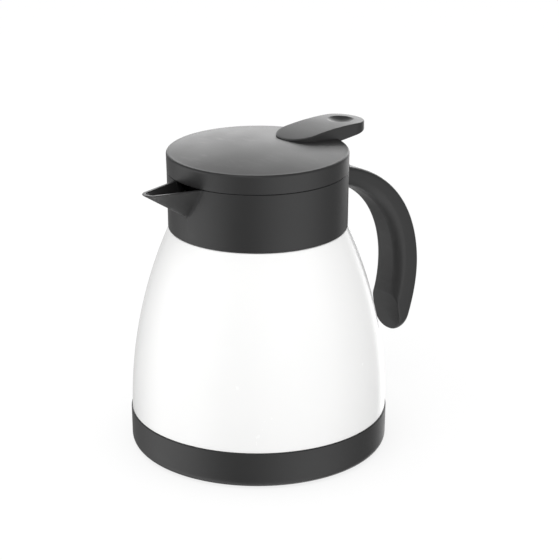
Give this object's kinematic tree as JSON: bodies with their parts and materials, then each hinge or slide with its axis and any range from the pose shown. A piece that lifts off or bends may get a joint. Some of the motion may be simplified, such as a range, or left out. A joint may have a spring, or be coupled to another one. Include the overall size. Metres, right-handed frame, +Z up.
{
  "type": "thermal carafe",
  "caption": "Vacuum-jacketed steel carafe with a beak spout, an open hook handle and a flip lid lifted by a thumb lever.",
  "frame": {"origin": "centre of the round underside, on the surface that the carafe stands on", "axes": "+Z up along the body's axis, -X towards the spout, +X towards the handle and the hinge"},
  "size_m": [0.1757, 0.132, 0.161],
  "materials": {
    "white_paint": "gloss",
    "steel": "satin",
    "getter_metal": "matt",
    "black_plastic": "satin",
    "lid_plastic": "satin",
    "grey_plastic": "satin",
    "foot_silicone": "matt",
    "seal_silicone": "satin",
    "screw_steel": "bright",
    "foam": "matt"
  },
  "bodies": {
    "body": {"outer_shell": "white_paint", "outer_bottom": "steel", "flask_floor": "steel", "flask_wall": "steel", "flask_neck": "steel", "getter": "getter_metal", "base_cup": "black_plastic", "foot_pad": "foot_silicone", "collar": "black_plastic", "neck_ring": "grey_plastic", "neck_seal": "seal_silicone", "handle_grip": "black_plastic", "handle_cover": "black_plastic", "handle_screws": "screw_steel", "hinge_pin": "screw_steel"},
    "lid": {"lid_cap": "lid_plastic", "thumb_lever": "lid_plastic", "lever_screws": "screw_steel", "lid_base": "grey_plastic", "lid_insulation": "foam", "lid_seal": "seal_silicone", "lid_screws": "screw_steel"}
  },
  "joints": [
    {"name": "lid_hinge", "type": "hinge", "parent": "body", "child": "lid", "pos_m": [0.0485, 0, 0.1395], "axis": [0, 1, 0], "range_deg": [0, 56]}
  ]
}
